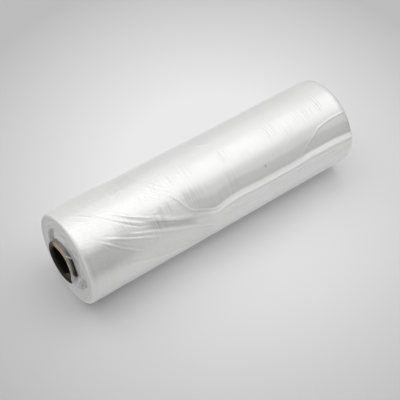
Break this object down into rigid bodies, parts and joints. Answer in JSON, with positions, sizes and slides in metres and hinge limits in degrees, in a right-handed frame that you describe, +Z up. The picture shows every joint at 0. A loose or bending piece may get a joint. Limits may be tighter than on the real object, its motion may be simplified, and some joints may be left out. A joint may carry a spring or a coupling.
{
  "type": "roll of plastic bags",
  "caption": "Roll of thin translucent plastic bags wound on a hollow cardboard core, lying on its side, with the loose outer film gathered in a long ridge and fanned folds.",
  "frame": {"origin": "on the axis of the core's bore, half way along the roll", "axes": "+X along the core from the near end to the far end, +Z up, with the folds of the loose film on the -Y side"},
  "size_m": [0.317, 0.0911, 0.09],
  "materials": {
    "core_board": "matt brown board, spirally wound, with a rough cut edge",
    "bag_film": "milky white, satin, slightly see-through film wound in many turns"
  },
  "bodies": {
    "root": {"core_tube": "core_board", "film_roll": "bag_film"}
  },
  "joints": []
}
